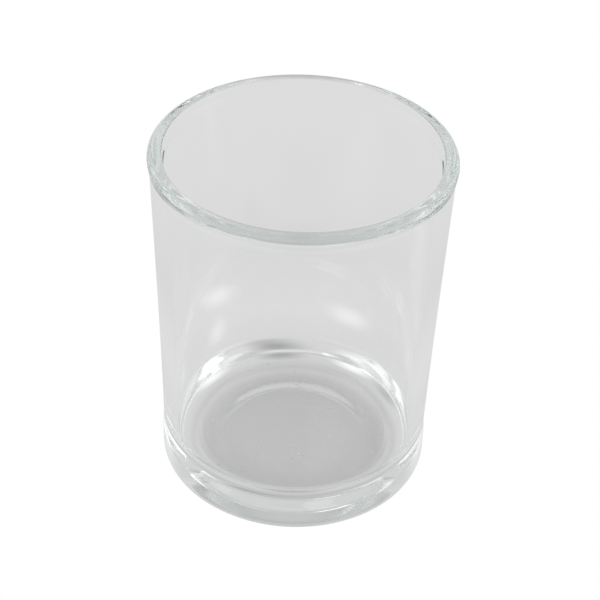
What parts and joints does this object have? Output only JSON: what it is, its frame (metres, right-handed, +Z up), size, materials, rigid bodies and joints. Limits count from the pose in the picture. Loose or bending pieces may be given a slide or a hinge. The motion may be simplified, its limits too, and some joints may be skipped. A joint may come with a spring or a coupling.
{
  "type": "candle jar",
  "caption": "Empty round candle jar of clear pressed glass with a slightly tapered wall, a rounded rim and a heavy base.",
  "frame": {"origin": "centre of the bottom, in the plane of the standing ring", "axes": "+Z up along the jar's axis, from the base to the open mouth; X and Y are alike"},
  "size_m": [0.055, 0.055, 0.068],
  "materials": {
    "clear_glass": "fire-polished clear soda-lime glass, faintly green at the rim and in the base"
  },
  "bodies": {
    "root": {"glass_jar": "clear_glass"}
  },
  "joints": []
}
